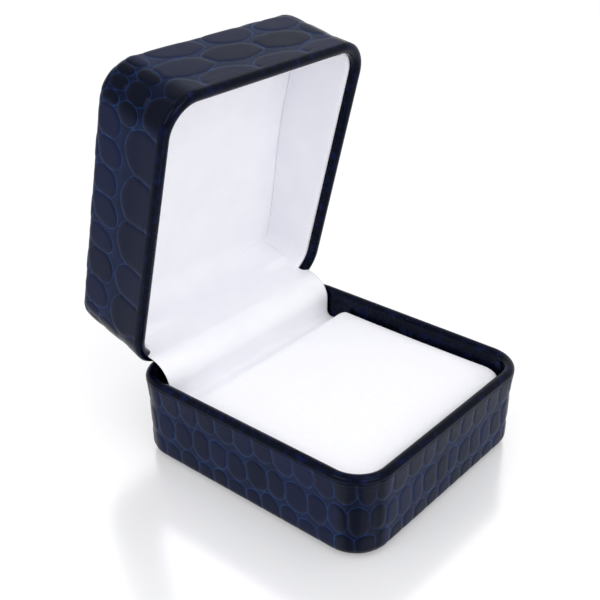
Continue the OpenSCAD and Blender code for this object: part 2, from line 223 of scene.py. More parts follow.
def leatherColour(tree, place, cloud, corner, bead):
    # the tops of the scales, the lines round them, which are a painted highlight, and the gaps between them,
    # then the rolled bead; tops and lines are painted darker towards the corners, as shade
    look = leatherLook
    edge = addNode(tree, "Attribute", {"attribute_name": "scaleEdge"})
    tone = addNode(tree, "Attribute", {"attribute_name": "scaleTone"})
    streak = addNode(tree, "TexNoise", values={"Scale": 1 / (look["streakMm"] * mm), "Detail": 2},
                     links={"Vector": place})
    mixed = addNode(tree, "Math", {"operation": "MULTIPLY_ADD"}, {1: 0.9},
                    {0: cloud.outputs["Fac"], 2: tone.outputs["Fac"]})
    spread = addNode(tree, "MapRange", values={"From Min": 0.25, "From Max": 1.35},
                     links={"Value": mixed.outputs[0]})
    top = addNode(tree, "Mix", colourMix, {6: look["top"], 7: look["topPale"]}, {0: spread.outputs[0]})
    # the tops are painted darker towards the corners, as shade
    topAll = addNode(tree, "Mix", colourMix, {7: look["topCornerShade"]},
                     {0: corner.outputs["Fac"], 6: top.outputs[2]})
    # the lines round the scales are a painted highlight of light caught on their raised edges, patchy by
    # noise, and painted darker at the corners as shade; the gaps take a faint share of the same colour
    lineHighlightColour = addNode(tree, "Mix", colourMix, {6: look["lineHighlight"], 7: look["lineHighlightCornerShade"]},
                         {0: corner.outputs["Fac"]})
    away = addNode(tree, "Math", {"operation": "ABSOLUTE"}, links={0: edge.outputs["Fac"]})
    line = addNode(tree, "MapRange", {"interpolation_type": "SMOOTHSTEP"},
                   {"From Min": 0.3 * look["lineMm"], "From Max": 1.7 * look["lineMm"],
                    "To Min": 1, "To Max": 0}, {"Value": away.outputs[0]})
    gap = addNode(tree, "MapRange", {"interpolation_type": "SMOOTHSTEP"},
                  {"From Min": 0, "From Max": -look["gapMm"], "To Min": 0, "To Max": look["gap"]},
                  {"Value": edge.outputs["Fac"]})
    both = addNode(tree, "Math", {"operation": "MAXIMUM"},
                   links={0: line.outputs[0], 1: gap.outputs[0]})
    patchy = addNode(tree, "MapRange",
                     values={"From Min": 0.35, "From Max": 0.62, "To Min": 0.35, "To Max": 1},
                     links={"Value": streak.outputs["Fac"]})
    strength = addNode(tree, "Math", {"operation": "MULTIPLY"},
                       links={0: both.outputs[0], 1: patchy.outputs[0]})
    skin = addNode(tree, "Mix", colourMix,
                   links={0: strength.outputs[0], 6: topAll.outputs[2], 7: lineHighlightColour.outputs[2]})
    # the bead is mixed towards a paler blue in streaks, laid by noise
    beadStreaks = addNode(tree, "MapRange", values={"From Min": 0.5, "From Max": 0.75},
                   links={"Value": streak.outputs["Fac"]})
    rolled = addNode(tree, "Mix", colourMix, {6: look["bead"], 7: look["beadPale"]}, {0: beadStreaks.outputs[0]})
    whole = addNode(tree, "Mix", colourMix,
                    links={0: bead.outputs["Fac"], 6: skin.outputs[2], 7: rolled.outputs[2]})
    return whole.outputs[2]


def makeLeather():
    look = leatherLook
    material, tree, shader = newMaterial("embossedLeatherette", {
        "Specular IOR Level": look["specular"], "Specular Tint": look["sheen"],
        "Coat Weight": look["coat"], "Coat Roughness": look["coatRoughness"]})
    # mask for the painted shade at the corners: darker tops and lines there; the same corners are also
    # glossier
    corner = addNode(tree, "Attribute", {"attribute_name": "paintedCornerShade"})
    bead = addNode(tree, "Attribute", {"attribute_name": "beadShade"})
    place = addNode(tree, "TexCoord").outputs["Object"]
    cloud = addNode(tree, "TexNoise", links={"Vector": place},
                    values={"Scale": 1 / (look["cloudMm"] * mm), "Detail": 3, "Roughness": 0.6})
    rough = addNode(tree, "MapRange", links={"Value": cloud.outputs["Fac"]},
                    values={"To Min": look["roughness"] - 0.06, "To Max": look["roughness"] + 0.14})
    shiny = addNode(tree, "Math", {"operation": "MAXIMUM"},
                    links={0: corner.outputs["Fac"], 1: bead.outputs["Fac"]})
    glossy = addNode(tree, "Math", {"operation": "MULTIPLY_ADD"}, {1: -look["cornerGloss"]},
                     {0: shiny.outputs[0], 2: rough.outputs[0]})
    tree.links.new(glossy.outputs[0], shader.inputs["Roughness"])
    pores = addNode(tree, "TexVoronoi", {"feature": "SMOOTH_F1"},
                    {"Scale": 1 / (look["grainMm"] * mm), "Smoothness": 0.6}, {"Vector": place})
    colour = leatherColour(tree, place, cloud, corner, bead)
    finishMaterial(tree, shader, colour, pores.outputs["Distance"], look["grainDepth"], 0.02)
    return material


# polyester satin weave, bright white with a soft silky shine that runs along the threads
satinLook = {"thread": "#f9f9fd", "shade": "#efeff6", "threadMm": 0.25, "shadeMm": 9, "weave": 0.12,
             "roughness": 0.42}


def makeSatin():
    look = satinLook
    material, tree, shader = newMaterial("whiteSatin", {
        "Roughness": look["roughness"], "Specular IOR Level": 0.35, "Sheen Weight": 0.25,
        "Sheen Roughness": 0.4})
    place = addNode(tree, "TexCoord").outputs["Object"]
    threads = addNode(tree, "TexWave", {"bands_direction": "X"},
                      {"Scale": math.pi / (20 * look["threadMm"] * mm), "Distortion": 1.5, "Detail": 1},
                      {"Vector": place})
    soft = addNode(tree, "TexNoise", values={"Scale": 1 / (look["shadeMm"] * mm), "Detail": 2},
                   links={"Vector": place})
    colour = addNode(tree, "Mix", colourMix, {6: look["thread"], 7: look["shade"]}, {0: soft.outputs["Fac"]})
    finishMaterial(tree, shader, colour.outputs[2], threads.outputs["Fac"], look["weave"], 0.02)
    return material


# nylon flock on a thin fabric: matt white velvet of upright fibres, a little brighter at grazing angles; the
# hollows between tufts are painted a little darker, as shade
flockLook = {"fibre": "#fbfbff", "hollowShade": "#ededf4", "tuftMm": 0.4, "nap": 0.35}


def makeFlock():
    look = flockLook
    material, tree, shader = newMaterial("whiteFlock", {
        "Roughness": 0.95, "Specular IOR Level": 0.15, "Sheen Weight": 0.6, "Sheen Roughness": 0.6})
    place = addNode(tree, "TexCoord").outputs["Object"]
    tufts = addNode(tree, "TexNoise", values={"Scale": 1 / (look["tuftMm"] * mm), "Detail": 3},
                    links={"Vector": place})
    # the hollows between the tufts are painted darker, as shade, on the same noise as the bump
    colour = addNode(tree, "Mix", colourMix, {6: look["hollowShade"], 7: look["fibre"]},
                     {0: tufts.outputs["Fac"]})
    finishMaterial(tree, shader, colour.outputs[2], tufts.outputs["Fac"], look["nap"], 0.06)
    return material


# the plainer stock: its CAD nodes, two colours, roughness, metallic, grain size in mm and bump
stockLooks = {
    # injection-moulded polystyrene, under the wraps: smooth dull grey
    "mouldedCore": {"nodes": ("base_shell", "lid_shell"), "a": "#2b2c33", "b": "#3a3b43",
                    "roughness": 0.55, "metallic": 0, "grainMm": 0.8, "bump": 0.1},
    # dark coated paper under the base: matt, with a faint fibre
    "solePaper": {"nodes": ("base_sole",), "a": "#1d1f29", "b": "#2b2d39",
                  "roughness": 0.7, "metallic": 0, "grainMm": 0.5, "bump": 0.4},
    # pressed spring steel, zinc-plated: pale and half bright
    "zincPlatedSteel": {"nodes": ("base_leaf", "base_rivets", "hinge_pin", "snap_spring", "lid_leaf",
                                  "lid_rivets"), "a": "#b4b7bd", "b": "#d0d2d6",
                        "roughness": 0.3, "metallic": 1, "grainMm": 0.6, "bump": 0.1},
    # die-cut grey board: matt and warm, with short fibres
    "greyBoard": {"nodes": ("pad_card", "lid_card", "left_cheek_card", "right_cheek_card"),
                  "a": "#bdb5a3", "b": "#d3ccbc", "roughness": 0.85, "metallic": 0, "grainMm": 0.4,
                  "bump": 0.3},
    # open-cell polyurethane foam: matt off-white with fine pores
    "softFoam": {"nodes": ("riser_block", "lid_wadding", "pad_foam"), "a": "#dedad0", "b": "#efece4",
                 "roughness": 0.95, "metallic": 0, "grainMm": 0.5, "bump": 0.6}}


def makeStock(name):
    look = stockLooks[name]
    material, tree, shader = newMaterial(name, {"Metallic": look["metallic"]})
    place = addNode(tree, "TexCoord").outputs["Object"]
    grain = addNode(tree, "TexNoise", values={"Scale": 1 / (look["grainMm"] * mm), "Detail": 4},
                    links={"Vector": place})
    colour = addNode(tree, "Mix", colourMix, {6: look["a"], 7: look["b"]}, {0: grain.outputs["Fac"]})
    rough = addNode(tree, "MapRange", links={"Value": grain.outputs["Fac"]},
                    values={"To Min": look["roughness"] - 0.06, "To Max": look["roughness"] + 0.06})
    tree.links.new(rough.outputs[0], shader.inputs["Roughness"])
    finishMaterial(tree, shader, colour.outputs[2], grain.outputs["Fac"], look["bump"], 0.05)
    return material


leather, satin, flock = makeLeather(), makeSatin(), makeFlock()
stock = {name: makeStock(name) for name in stockLooks}
for stockName, stockLook in stockLooks.items():
    for nodeName in stockLook["nodes"]:
        putOn(cadNodes[nodeName], stock[stockName])
print("materials made")


# leatherette covers: a wall section is drawn at the left side and carried once round the box

wallShape = {"thick": 3.0, "skin": 0.4, "bead": 1.5, "foot": 2.4, "footIn": 0.75, "waistIn": 0.55,
             "flare": 8.0, "turnDown": 11.0, "smoothDeg": 60}
baseShape = {"halfW": 35.0, "front": -37.4, "back": 37.4, "corner": 10.0, "closedZ": 0.5, "up": 1,
             "tall": 22.7, "turnUnder": 6.0, "step": 0.34}
lidShape = {"halfW": 35.3, "front": -39.2, "back": 37.4, "corner": 10.15, "closedZ": 46.1, "up": -1,
            "tall": 22.8, "turnUnder": 3.0, "step": 0.4, "notchHalf": 20.2, "notchTall": 3.4,
            "notchDeep": 5}


def flareRadius():
    # the wall flares out under the bead on an arc that starts upright at the waist
    return (wallShape["waistIn"] ** 2 + wallShape["flare"] ** 2) / (2 * wallShape["waistIn"])


def wallInset(height, tall):
    # how far the outer face sits in from the bead, at a height over the closed end
    w = wallShape
    flareLow = tall - w["bead"] - w["flare"]
    rise = np.clip(height - flareLow, 0, w["flare"])
    flared = w["waistIn"] - flareRadius() + np.sqrt(flareRadius() ** 2 - rise ** 2)
    share = np.clip((height - w["foot"]) / (flareLow - w["foot"]), 0, 1)
    return np.where(height > flareLow, flared, w["footIn"] + (w["waistIn"] - w["footIn"]) * share)


def drawCover(name, shape):
    startY = shape["front"] + shape["corner"]
    left, up, closedZ = -shape["halfW"], shape["up"], shape["closedZ"]

    def place(inset, height):
        return ((left + inset) * mm, startY * mm, (closedZ + up * height) * mm)

    def run(inset, height, toInset, toHeight, steps):
        step = [(b - a) / steps for a, b in zip(place(inset, height), place(toInset, toHeight))]
        bpy.ops.mesh.extrude_repeat(steps=steps, offset=step)

    def arc(inset, height, angle, steps):
        bpy.ops.mesh.spin(steps=steps, angle=up * angle, center=place(inset, height), axis=(0, 1, 0))

    w, step, under = wallShape, shape["step"], shape["turnUnder"]
    thick, skin, bead, foot, waist = w["thick"], w["skin"], w["bead"], w["foot"], w["waistIn"]
    rim, low = shape["tall"] - bead, shape["tall"] - w["turnDown"]
    flareLow, footEnd = rim - w["flare"], w["footIn"] + foot
    flareAngle = math.asin(w["flare"] / flareRadius())

    pickNothing()
    bpy.ops.mesh.primitive_plane_add(size=mm, location=place(under, 0))
    cover = bpy.context.object
    settle(cover)
    editAll(cover)
    bpy.ops.mesh.merge(type="CENTER")
    if under > footEnd:
        run(under, 0, footEnd, 0, 5)
    arc(footEnd, foot, -math.pi / 2, round(foot * math.pi / 2 / step))
    run(w["footIn"], foot, waist, flareLow, round((flareLow - foot) / step))
    arc(waist - flareRadius(), flareLow, flareAngle, round(w["flare"] / step))
    arc(bead, rim, -math.pi, round(bead * math.pi / step))
    run(thick, rim, thick, low, 7)
    run(thick, low, thick - skin, low, 1)
    run(thick - skin, low, thick - skin, rim, 2)
    arc(bead, rim, math.pi, 7)
    run(skin, rim, waist + skin, flareLow, 3)
    run(waist + skin, flareLow, w["footIn"] + skin, foot, 1)
    arc(footEnd, foot, math.pi / 2, 4)
    if under > footEnd:
        run(footEnd, skin, under, skin, 1)
        run(under, skin, under, 0, 1)
    leaveEdit()
    return carryRound(cover, name, shape)


def carryRound(section, name, shape):
    # the section is copied to the start of each side and corner and carried along it, then all are joined
    startY, step = shape["front"] + shape["corner"], shape["step"]
    longX = 2 * (shape["halfW"] - shape["corner"])
    longY = shape["back"] - shape["front"] - 2 * shape["corner"]
    cornerX, backY = longX / 2, shape["back"] - shape["corner"]
    cornerSteps = round(shape["corner"] * math.pi / 2 / step)
    origin = Vector((-shape["halfW"], startY, 0)) * mm
    parts = []
    for k, (length, corner) in enumerate(((longY, (-cornerX, backY)), (longX, (cornerX, backY)),
                                          (longY, (cornerX, startY)), (longX, (-cornerX, startY)))):
        turn = Matrix.Rotation(-k * math.pi / 2, 4, "Z")
        way = turn @ Vector((0, length, 0)) * mm
        centre = Vector((*corner, 0)) * mm
        end = centre + turn @ Vector((-shape["corner"], 0, 0)) * mm
        for start, isCorner in ((end - way, False), (end, True)):
            part = section.copy()
            part.data = section.data.copy()
            bpy.context.scene.collection.objects.link(part)
            part.data.transform(Matrix.Translation(start) @ turn @ Matrix.Translation(-origin))
            editAll(part)
            if isCorner:
                bpy.ops.mesh.spin(steps=cornerSteps, angle=math.pi / 2, center=centre, axis=(0, 0, 1))
            else:
                steps = round(length / step / 2) * 2
                bpy.ops.mesh.extrude_repeat(steps=steps, offset=way / steps)
            leaveEdit()
            parts.append(part)
    bpy.data.objects.remove(section)
    pickOnly(parts[0])
    for part in parts:
        part.select_set(True)
    bpy.ops.object.join()
    parts[0].name = name
    editAll(parts[0])
    bpy.ops.mesh.remove_doubles(threshold=0.01 * mm)
    leaveEdit()
    return parts[0]


baseCover = drawCover("baseCover", baseShape)
lidCover = drawCover("lidCover", lidShape)
print("cover sections carried round", len(baseCover.data.polygons), len(lidCover.data.polygons))


def closeTop(cover, shape):
    # the lid's outer sheet is closed with a grid, its inner face with one sheet
    closedZ, up = shape["closedZ"], shape["up"]

    def atEdge(height):
        level = closedZ + up * height
        selectWhere(cover, "edges", lambda a, b: np.hypot(a[2] - level, b[2] - level) < 1e-3)

    atEdge(0)
    leaveEdit()
    loop = sum(e.select for e in cover.data.edges)
    bpy.ops.object.mode_set(mode="EDIT")
    bpy.ops.mesh.fill_grid(span=loop // 4, offset=0)
    atEdge(wallShape["skin"])
    bpy.ops.mesh.edge_face_add()
    print("lid top closed over a loop of", loop)


closeTop(lidCover, lidShape)
pointOut(lidCover)
pointOut(baseCover)


def cutNotch(cover, shape):
    # the hinge knuckles sit in a notch in the back of the lid's rim
    rimZ = shape["closedZ"] + shape["up"] * shape["tall"]
    pickNothing()
    middleY = shape["back"] - wallShape["thick"] / 2
    bpy.ops.mesh.primitive_cube_add(size=1, location=(0, middleY * mm, rimZ * mm))
    cutter = bpy.context.object
    cutter.scale = (2 * shape["notchHalf"] * mm, shape["notchDeep"] * mm, 2 * shape["notchTall"] * mm)
    settle(cutter)
    cut = cover.modifiers.new("notch", "BOOLEAN")
    cut.operation = "DIFFERENCE"
    cut.solver = "MANIFOLD"
    cut.object = cutter
    applyModifier(cover, cut)
    bpy.data.objects.remove(cutter)


cutNotch(lidCover, lidShape)
print("notch cut", len(lidCover.data.polygons))


# crocodile grain: ovals laid in staggered rows that squeeze together at the corners

# depth and shoulder shape each scale, hem and rim end it short of its neighbour and of its own oval, and
# floor and floorMm shape the gaps; a scale grows to the fill percentile of its reach
grainLook = {"depth": 0.2, "shoulder": 0.35, "hem": 0.06, "rim": 0.97, "floor": 0.35, "floorMm": 0.25,
             "groove": 0.2, "grooveWide": 0.2, "secondShare": 0.35, "secondAt": 0.9, "footFade": 2.2,
             "fill": 38, "touch": 0.12, "grow": (0.7, 1.5), "reach": 2.6, "thickness": 0.8,
             "sway": 0.35, "swayMm": 4.5, "seed": 7}
# how far each scale of a wall strays: along is a share of the pitch, up is in mm, the rest are factors
stray = {"along": 0.09, "up": 0.5, "tilt": (0.2, 1.6), "frontTilt": 0.4, "halfAlong": (0.88, 1.12),
         "halfTall": (0.92, 1.08)}
# rows of scales on each stretch of wall: height over the closed end, pitch along, and half sizes in mm
baseRows = {"side": ((3.6, 5.7, 2.8, 3.4), (10.2, 5.9, 2.9, 3.6), (17.2, 6.3, 3.1, 4.0)),
            "front": ((3.4, 5.0, 2.5, 3.2), (9.8, 5.1, 2.5, 3.4), (16.8, 5.4, 2.7, 4.0)),
            "corner": ((4.0, 5.2, 2.5, 3.2), (10.4, 4.9, 2.4, 3.4), (17.2, 5.2, 2.5, 3.8)), "tilt": 10}
lidRows = {"side": ((4.6, 8.1, 3.9, 4.3), (14.8, 11.4, 5.6, 5.6)),
           "front": ((3.8, 15.0, 7.6, 3.6), (11.2, 16.5, 8.0, 3.9), (18.2, 15.5, 7.6, 3.5)),
           "corner": ((3.6, 4.4, 2.1, 3.2), (10.2, 5.6, 2.7, 3.4), (17.0, 7.8, 3.9, 3.8)), "tilt": -14}
# larger scales in rows across the broad flat of the lid
topRows = {"front": 5, "back": 3, "left": 3, "right": 2, "pitch": 11, "rowPitch": 8.2, "halfAlong": 6.1,
           "halfTall": 4.6, "tilt": 14, "strayX": 1, "strayY": 0.8, "sizes": (0.9, 1.1)}


def stretches(shape):
    # the four sides and four corners of the outline, each as its kind, its length, and a function from the
    # way along it to a place with its outward direction
    r = shape["corner"]
    cornerX, frontY, backY = shape["halfW"] - r, shape["front"] + r, shape["back"] - r
    corners = ((-cornerX, backY, 180), (cornerX, backY, 90), (cornerX, frontY, 0), (-cornerX, frontY, -90))
    before = np.array([-cornerX, frontY])
    for cx, cy, turn in corners:
        centre = np.array([cx, cy])
        out = np.array([math.cos(math.radians(turn)), math.sin(math.radians(turn))])
        way = (centre - before) / np.linalg.norm(centre - before)

        def straight(s, before=before, way=way, out=out):
            return before + way * s + out * r, out

        def rounded(s, centre=centre, turn=turn):
            angle = math.radians(turn) - s / r
            way = np.array([math.cos(angle), math.sin(angle)])
            return centre + way * r, way

        yield "side" if abs(out[0]) > 0.5 else "front", np.linalg.norm(centre - before), straight
        yield "corner", r * math.pi / 2, rounded
        before = centre


def wallSeeds(shape, rows, random):
    seeds = []
    for kind, length, placeAt in stretches(shape):
        for row, (height, pitch, halfAlong, halfTall) in enumerate(rows[kind]):
            count = max(1, round(length / pitch))
            for k in range(count):
                shift = random.uniform(-stray["along"], stray["along"])
                spot, out = placeAt((k + 0.3 + 0.4 * (row % 2) + shift) * length / count)
                level = height + random.uniform(-stray["up"], stray["up"])
                inset = float(wallInset(level, shape["tall"]))
                point = np.array([*(spot - out * inset), shape["closedZ"] + shape["up"] * level])
                along = np.array([-out[1], out[0], 0])
                tilt = math.radians(rows["tilt"] * random.uniform(*stray["tilt"]))
                tilt *= 1 if kind == "side" else stray["frontTilt"]
                u = along * math.cos(tilt) + np.array([0, 0, math.sin(tilt)])
                v = -along * math.sin(tilt) + np.array([0, 0, math.cos(tilt)])
                seeds.append((point, u, v, halfAlong * random.uniform(*stray["halfAlong"]),
                              halfTall * random.uniform(*stray["halfTall"])))
    return seeds


def topSeeds(shape, random):
    t = topRows
    seeds = []
    y = shape["front"] + t["front"]
    row = 0
    while y < shape["back"] - t["back"]:
        x = -shape["halfW"] + t["left"] + (row % 2) * t["pitch"] / 2
        while x < shape["halfW"] - t["right"]:
            point = np.array([x + random.uniform(-t["strayX"], t["strayX"]),
                              y + random.uniform(-t["strayY"], t["strayY"]), shape["closedZ"]])
            tilt = math.radians(random.uniform(-t["tilt"], t["tilt"]))
            u = np.array([math.cos(tilt), math.sin(tilt), 0])
            v = np.array([-math.sin(tilt), math.cos(tilt), 0])
            seeds.append((point, u, v, t["halfAlong"] * random.uniform(*stray["halfAlong"]),
                          t["halfTall"] * random.uniform(*t["sizes"])))
            x += t["pitch"] * random.uniform(*t["sizes"])
        y += t["rowPitch"]
        row += 1
    return seeds


def seedDistances(points, seeds):
    # nearest and second nearest seed of each point, measured in each seed's own oval
    count = len(points)
    first, second, owner = np.full(count, 1e9), np.full(count, 1e9), np.zeros(count, int)
    for index, (centre, u, v, ru, rv) in enumerate(seeds):
        away = points - centre
        near = np.nonzero(np.einsum("ij,ij->i", away, away) < (grainLook["reach"] * max(ru, rv)) ** 2)[0]
        part = away[near]
        across, deep = np.cross(u, v), grainLook["thickness"] * (ru + rv) / 2
        d = np.sqrt((part @ u / ru) ** 2 + (part @ v / rv) ** 2 + (part @ across / deep) ** 2)
        closer = d < first[near]
        second[near] = np.where(closer, first[near], np.minimum(second[near], d))
        first[near] = np.where(closer, d, first[near])
        owner[near] = np.where(closer, index, owner[near])
    return first, second, owner


def outerSkin(points, shape):
    # which points lie on the sheet's outer face, how deep each is in a corner, 0 to 1, and its height over
    # the closed end; near is under half the sheet's thickness
    w, near = wallShape, 0.15
    corner = shape["corner"]
    height = (points[:, 2] - shape["closedZ"]) * shape["up"]
    dx = np.maximum(np.abs(points[:, 0]) - (shape["halfW"] - corner), 0)
    dy = np.maximum(points[:, 1] - (shape["back"] - corner), shape["front"] + corner - points[:, 1])
    dy = np.maximum(dy, 0)
    inward = corner - np.hypot(dx, dy)
    beadLow = shape["tall"] - w["bead"]
    inset = wallInset(np.clip(height, w["foot"], beadLow), shape["tall"])
    onWall = (inward < inset + near) & (height > w["foot"] - 0.01)
    footCentre = w["footIn"] + w["foot"]
    arcOut = np.hypot(inward - footCentre, height - w["foot"])
    onFoot = (height < w["foot"]) & (arcOut > w["foot"] - near) & (inward <= footCentre + 1e-6)
    onEnd = (height < 0.02) & (inward >= footCentre - 0.01)
    return onWall | onFoot | onEnd | (height > beadLow), np.minimum(dx, dy) / corner, height


def settleSeeds(points, seeds):
    # the scales nudge each other apart, then each grows or shrinks until it nearly touches its neighbours
    look = grainLook
    for _ in range(3):
        owner = seedDistances(points, seeds)[2]
        moved = []
        for index, seed in enumerate(seeds):
            mine = points[owner == index]
            if len(mine) > 20:
                middle = mine.mean(0)
                close = mine[np.argmin(((mine - middle) ** 2).sum(1))]
                seed = (seed[0] * 0.5 + close * 0.5, *seed[1:])
            moved.append(seed)
        seeds = moved
    for _ in range(2):
        first, second, owner = seedDistances(points, seeds)
        sized = []
        for index, (centre, u, v, ru, rv) in enumerate(seeds):
            reach = first[(owner == index) & (second - first < look["touch"])]
            grow = np.clip(np.percentile(reach, look["fill"]), *look["grow"]) if len(reach) > 5 else 1
            sized.append((centre, u, v, ru * grow, rv * grow))
        seeds = sized
    return seeds


def grainCover(cover, shape, seeds, random):
    look = grainLook
    points = readPoints(cover)
    outer, inCorner, height = outerSkin(points, shape)
    beadLow = shape["tall"] - wallShape["bead"]
    sway = np.array([noise.noise_vector(Vector(p) / look["swayMm"]) for p in points]) * look["sway"]
    swayed = points + sway
    seeds = settleSeeds(swayed[outer], seeds)
    first, second, owner = seedDistances(swayed, seeds)
    radii = np.array([min(s[3], s[4]) for s in seeds])[owner]
    between = (second - first) * 0.5 * radii
    edge = np.minimum(between - look["hem"], (look["rim"] - first) * radii)
    dome = np.where(edge > 0, 1 - np.exp(-np.maximum(edge, 0) / look["shoulder"]),
                    look["floor"] * (1 - np.exp(np.minimum(edge, 0) / look["floorMm"])))
    # the grain runs right up to the crease under the bead, with a second, fainter crease beside it
    fade = 1 - smoothStep(beadLow - 0.7, beadLow - 0.2, height)
    down, wide = height - beadLow, look["grooveWide"]
    groove = np.exp(-(down / wide) ** 2)
    groove = groove + look["secondShare"] * np.exp(-((down + look["secondAt"]) / wide) ** 2)
    # the base's underside lies flat
    underneath = smoothStep(0, look["footFade"], height) if shape["up"] > 0 else np.ones(len(points))
    sunk = look["depth"] * (1 - dome) * fade * underneath + look["groove"] * groove
    sunk = np.where(outer & (height <= beadLow + 0.6), sunk, 0)
    shown = outer & (fade > 0.5) & ((height > 0.3) | (shape["up"] < 0))
    tones = random.uniform(0, 1, len(seeds))
    bead = np.maximum(smoothStep(beadLow - 0.3, beadLow, height), np.where(outer, 0, 1))
    setAttribute(cover, "scaleEdge", np.where(shown, np.clip(edge, -2, 2), 2))
    setAttribute(cover, "scaleTone", tones[owner])
    # this mask paints the corners darker, as shade
    setAttribute(cover, "paintedCornerShade", smoothStep(0.06, 0.3, inCorner))
    setAttribute(cover, "beadShade", bead)
    # the sheet sinks straight in along its normals
    normals = np.zeros(len(points) * 3)
    cover.data.vertices.foreach_get("normal", normals)
    writePoints(cover, points - normals.reshape(-1, 3) * sunk[:, None])
    return len(seeds)


# Blender seeds noise_vector from the clock unless it is given a seed
noise.seed_set(grainLook["seed"])
random = np.random.default_rng(grainLook["seed"])
baseScales = grainCover(baseCover, baseShape, wallSeeds(baseShape, baseRows, random), random)
lidSeeds = wallSeeds(lidShape, lidRows, random) + topSeeds(lidShape, random)
lidScales = grainCover(lidCover, lidShape, lidSeeds, random)
print("grain pressed in:", baseScales, "and", lidScales, "scales")

lidCover.data.transform(swingOpen)
for cover, body, node in ((baseCover, "base", "base_wrap"), (lidCover, "lid", "lid_wrap")):
    pickOnly(cover)
    bpy.ops.object.shade_smooth_by_angle(angle=math.radians(wallShape["smoothDeg"]))
    putOn(cover, leather)
    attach(cover, body)
    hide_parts(node)


# satin lining: one strip from under the pad, up over the hinge and round the inside of the lid

liningShape = {"half": 31.4, "corner": 6.25, "cornerX": 25.15, "backY": 27.25, "frontY": -29.05,
               "back": 32.8, "front": -34.9, "ceiling": 43.0, "foot": 25.6, "lipY": -36.1, "lipTuck": 0.15,
               "sag": 3.0, "seamBack": 31.3, "backCove": 7.0, "frontCove": 5.0, "seamCove": 0.8,
               "crown": 0.22, "crownWide": 5, "pillow": 0.9, "pillowWide": 12, "thick": 0.28, "across": 80}
# rows of the strip on each stretch, tail under the pad to front wall of the lid
stripRows = {"tail": 8, "bend": 6, "rise": 5, "roll": 28, "back": 20, "backCove": 18, "ceiling": 54,
             "frontCove": 12, "front": 12}
flapShape = {"rollY": 34.8, "rollZ": 20.506, "roll": 7.0, "bulge": 1.5, "tailZ": 15.15, "tailY": 15.4,
             "bend": 1.6}


def liningHalf(y):
    # half the width inside the lid, which rounds in at the front and back corners
    l = liningShape
    over = max(y - l["backY"], l["frontY"] - y, 0)
    return l["cornerX"] + math.sqrt(max(l["corner"] ** 2 - over ** 2, 0))


def ceilingAt(y):
    # the satin leaves the board a little as it is drawn towards the hinge
    return liningShape["ceiling"] - liningShape["sag"] * float(smoothStep(-12, 31, y))


def coveLine(reach, radius, rows):
    # a square corner rounded to the radius, as rows of distances along its first and its second leg
    straight = reach - radius
    for k in range(1, rows + 1):
        run = (2 * straight + radius * math.pi / 2) * k / rows
        angle = (run - straight) / radius
        if run < straight:
            yield run, 0
        elif angle < math.pi / 2:
            yield straight + radius * math.sin(angle), radius - radius * math.cos(angle)
        else:
            yield reach, run - straight - radius * math.pi / 2 + radius


def lidLine(back, backCove, frontCove):
    # middle line of the strip in the shut lid, in (y, z): back wall, cove, ceiling, cove, front wall
    l, rows = liningShape, stripRows
    line = []
    backTop, frontTop = ceilingAt(back - backCove), ceilingAt(l["front"] + frontCove)
    low, high = l["foot"] + 3, backTop - l["backCove"]
    for k in range(rows["back"] + 1):
        line.append((l["back"] + (back - l["back"]) * float(smoothStep(0, 12, k)),
                     low + (high - low) * k / rows["back"]))
    for up, along in coveLine(l["backCove"], backCove, rows["backCove"]):
        level = high + up if up < l["backCove"] else ceilingAt(back - along)
        line.append((back - along, level))
    first, last = back - l["backCove"], l["front"] + l["frontCove"]
    for k in range(1, rows["ceiling"] + 1):
        y = first + (last - first) * k / rows["ceiling"]
        line.append((y, ceilingAt(y)))
    for along, down in coveLine(l["frontCove"], frontCove, rows["frontCove"]):
        line.append((last - along, frontTop - down))
    low = frontTop - l["frontCove"]
    for k in range(1, rows["front"] + 1):
        line.append((l["front"], low + (l["foot"] - low) * k / rows["front"]))
    # the front edge is turned out over its card to the leatherette
    line.append((l["front"] - l["lipTuck"], l["foot"] - 0.1))
    line.append((l["lipY"], l["foot"] - 0.1))
    return line


def stripLine():
    # each row of the strip, open: its middle in (y, z), the same drawn into the seam, half width, lid share
    f, l, rows = flapShape, liningShape, stripRows
    line = []
    frontY = f["rollY"] - f["roll"] - f["bulge"]

    def add(y, z, share=0):
        line.append(((y, z), (y, z), l["half"], share))

    for k in range(rows["tail"] + 1):
        add(f["tailY"] + (frontY - f["bend"] - f["tailY"]) * k / rows["tail"], f["tailZ"])
    for k in range(1, rows["bend"] + 1):
        a = math.radians(-90 + 90 * k / rows["bend"])
        add(frontY - f["bend"] + f["bend"] * math.cos(a), f["tailZ"] + f["bend"] + f["bend"] * math.sin(a))
    for k in range(1, rows["rise"] + 1):
        add(frontY, f["tailZ"] + f["bend"] + (f["rollZ"] - f["tailZ"] - f["bend"]) * k / rows["rise"])
    # the crown of the lid's satin starts on the roll and is whole a few rows up the lid's back wall
    rollShare, wholeAt = 0.3, 9
    endAngle = 180 - math.degrees(openBy)
    for k in range(1, rows["roll"] + 1):
        a = math.radians(180 - (180 - endAngle) * k / rows["roll"])
        r = f["roll"] + f["bulge"] * math.cos(a) ** 2
        add(f["rollY"] + r * math.cos(a), f["rollZ"] + r * math.sin(a), rollShare * (k / rows["roll"]) ** 2)
    soft = lidLine(l["back"], l["backCove"], l["frontCove"])
    sharp = lidLine(l["seamBack"], l["seamCove"], l["seamCove"])
    for k, (inner, seam) in enumerate(zip(soft, sharp)):
        a, b = (swingOpen @ Vector((0, y * mm, z * mm)) / mm for y, z in (inner, seam))
        share = float(smoothStep(0, wholeAt, k))
        half = l["half"] + (liningHalf(seam[0]) - 0.05 - l["half"]) * share
        line.append(((a.y, a.z), (b.y, b.z), half, rollShare + (1 - rollShare) * share))
    return line


